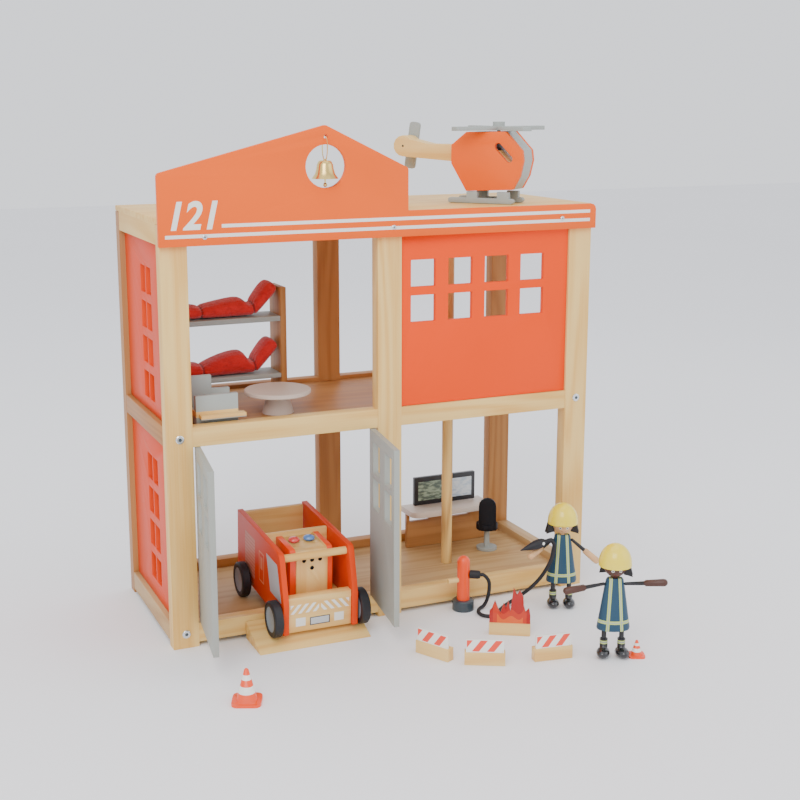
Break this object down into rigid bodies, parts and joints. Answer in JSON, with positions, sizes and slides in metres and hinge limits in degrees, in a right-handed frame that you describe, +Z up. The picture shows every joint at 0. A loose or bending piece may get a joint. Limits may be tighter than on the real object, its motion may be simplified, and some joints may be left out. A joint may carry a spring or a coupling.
{
  "type": "toy fire station",
  "caption": "Open two-storey wooden play building with gable, bell, doors, slide pole and furniture, with a toy vehicle, helicopter, hydrant, hose, road toys and dolls.",
  "frame": {"origin": "centre of the middle front post's foot, on the ground", "axes": "+Z up; -Y is the station's front; +X to the right when seen from the front"},
  "size_m": [0.504, 0.4266, 0.5463],
  "materials": {
    "pine": "clear satin varnish on pine",
    "orange_paint": "satin orange paint on wood",
    "grey_paint": "satin pale grey paint on wood",
    "black_paint": "satin black paint on wood",
    "red_paint": "gloss red paint on wood",
    "blue_paint": "gloss blue",
    "brass": "polished brass",
    "black_rubber": "matt black rubber",
    "red_cloth": "plain woven red cotton, padded",
    "doll_coat": "matt blue paint on turned wood",
    "doll_head": "gloss paint on turned wood",
    "doll_arm": "bare wooden hand on a dark bendy cord"
  },
  "bodies": {
    "station": {"front_frame": "pine", "back_frame": "pine", "lower_floor": "pine", "upper_floor": "pine", "roof_deck": "pine", "slide_pole": "pine", "ramp": "pine", "bunk_end_left": "pine", "bunk_end_right": "pine", "barrier_left": "pine", "barrier_mid": "pine", "barrier_right": "pine", "gable_fascia": "orange_paint", "window_panel": "orange_paint", "side_panel_lower": "orange_paint", "side_panel_upper": "orange_paint", "hydrant": "orange_paint", "cone_left": "orange_paint", "cone_right": "orange_paint", "bunk_shelf_upper": "grey_paint", "bunk_shelf_lower": "grey_paint", "armchair": "grey_paint", "round_table": "grey_paint", "desk": "grey_paint", "swivel_stand": "grey_paint", "monitor_board": "black_paint", "flame_board": "red_paint", "hose_coupling": "black_rubber", "hose": "black_rubber", "hose_nozzle": "black_rubber", "bunk_bedding_upper": "red_cloth", "bunk_bedding_lower": "red_cloth", "figure_a_body": "doll_coat", "figure_b_body": "doll_coat"},
    "door_left": {"door_left": "grey_paint"},
    "door_right": {"door_right": "grey_paint"},
    "alarm_bell": {"alarm_bell": "brass"},
    "fire_engine": {"engine_box": "pine", "engine_side_left": "orange_paint", "engine_side_right": "orange_paint", "engine_grab_bar": "pine"},
    "engine_front_wheels": {"engine_wheels_front": "black_rubber"},
    "engine_rear_wheels": {"engine_wheels_rear": "black_rubber"},
    "engine_sound_block": {"engine_sound_block": "pine"},
    "red_button": {"engine_button_red": "red_paint"},
    "blue_button": {"engine_button_blue": "blue_paint"},
    "helicopter": {"helicopter_core": "pine", "helicopter_plate_near": "orange_paint", "helicopter_plate_far": "orange_paint", "helicopter_skid_near": "grey_paint", "helicopter_skid_far": "grey_paint"},
    "main_rotor": {"helicopter_main_rotor": "grey_paint"},
    "tail_rotor": {"helicopter_tail_rotor": "grey_paint"},
    "swivel_seat": {"swivel_seat": "black_paint"},
    "doll_a_head": {"figure_a_head": "doll_head"},
    "doll_a_arm_left": {"figure_a_arm_left": "doll_arm"},
    "doll_a_arm_right": {"figure_a_arm_right": "doll_arm"},
    "doll_b_head": {"figure_b_head": "doll_head"},
    "doll_b_arm_left": {"figure_b_arm_left": "doll_arm"},
    "doll_b_arm_right": {"figure_b_arm_right": "doll_arm"}
  },
  "joints": [
    {"name": "door_left_swing", "type": "hinge", "parent": "station", "child": "door_left", "pos_m": [-0.2165, -0.0045, 0.12], "axis": [0, 0, 1], "range_deg": [-18, 50]},
    {"name": "door_right_swing", "type": "hinge", "parent": "station", "child": "door_right", "pos_m": [-0.0195, -0.0045, 0.12], "axis": [0, 0, 1], "range_deg": [-10, 33]},
    {"name": "alarm_bell_swing", "type": "hinge", "parent": "station", "child": "alarm_bell", "pos_m": [-0.0744, -0.0113, 0.534], "axis": [1, 0, 0], "range_deg": [-8, 8]},
    {"name": "fire_engine_lift", "type": "slide", "parent": "station", "child": "fire_engine", "axis": [0, 0, 1], "range_m": [0, 0.05]},
    {"name": "engine_front_wheels_roll", "type": "hinge", "parent": "fire_engine", "child": "engine_front_wheels", "pos_m": [-0.098, -0.03782, 0.02998], "axis": [1, 0, 0], "continuous": true},
    {"name": "engine_rear_wheels_roll", "type": "hinge", "parent": "fire_engine", "child": "engine_rear_wheels", "pos_m": [-0.098, 0.075, 0.0363], "axis": [1, 0, 0], "continuous": true},
    {"name": "engine_sound_block_lift", "type": "slide", "parent": "fire_engine", "child": "engine_sound_block", "axis": [0, -0.0559, 0.9984], "range_m": [0, 0.04]},
    {"name": "red_button_press", "type": "slide", "parent": "engine_sound_block", "child": "red_button", "axis": [0, 0.0559, -0.9984], "range_m": [0, 0.0015], "stiffness_N_per_m": 40},
    {"name": "blue_button_press", "type": "slide", "parent": "engine_sound_block", "child": "blue_button", "axis": [0, 0.0559, -0.9984], "range_m": [0, 0.0015], "stiffness_N_per_m": 40},
    {"name": "helicopter_lift", "type": "slide", "parent": "station", "child": "helicopter", "axis": [0, 0, 1], "range_m": [0, 0.05]},
    {"name": "main_rotor_spin", "type": "hinge", "parent": "helicopter", "child": "main_rotor", "pos_m": [0.15343, 0.03734, 0.5358], "axis": [0, 0, 1], "continuous": true},
    {"name": "tail_rotor_spin", "type": "hinge", "parent": "helicopter", "child": "tail_rotor", "pos_m": [0.08934, 0.13238, 0.5183], "axis": [0.766, 0.6428, 0], "continuous": true},
    {"name": "swivel_seat_turn", "type": "hinge", "parent": "station", "child": "swivel_seat", "pos_m": [0.184, 0.108, 0.0465], "axis": [0, 0, 1], "continuous": true},
    {"name": "doll_a_head_turn", "type": "hinge", "parent": "station", "child": "doll_a_head", "pos_m": [0.1905, -0.062, 0.087], "axis": [0, 0, 1], "range_deg": [-40, 40]},
    {"name": "doll_a_arm_left_raise", "type": "hinge", "parent": "station", "child": "doll_a_arm_left", "pos_m": [0.1801, -0.05758, 0.08], "axis": [0.3584, -0.9336, 0], "range_deg": [0, 30]},
    {"name": "doll_a_arm_right_raise", "type": "hinge", "parent": "station", "child": "doll_a_arm_right", "pos_m": [0.2009, -0.06642, 0.08], "axis": [0.2588, 0.9659, 0], "range_deg": [-40, 6]},
    {"name": "doll_b_head_turn", "type": "hinge", "parent": "station", "child": "doll_b_head", "pos_m": [0.168, -0.204, 0.087], "axis": [0, 0, 1], "range_deg": [-40, 40]},
    {"name": "doll_b_arm_left_raise", "type": "hinge", "parent": "station", "child": "doll_b_arm_left", "pos_m": [0.1576, -0.19958, 0.08], "axis": [-0.3256, -0.9455, 0], "range_deg": [-8, 35]},
    {"name": "doll_b_arm_right_raise", "type": "hinge", "parent": "station", "child": "doll_b_arm_right", "pos_m": [0.1784, -0.20842, 0.08], "axis": [0.5736, 0.8192, 0], "range_deg": [-4, 40]}
  ]
}
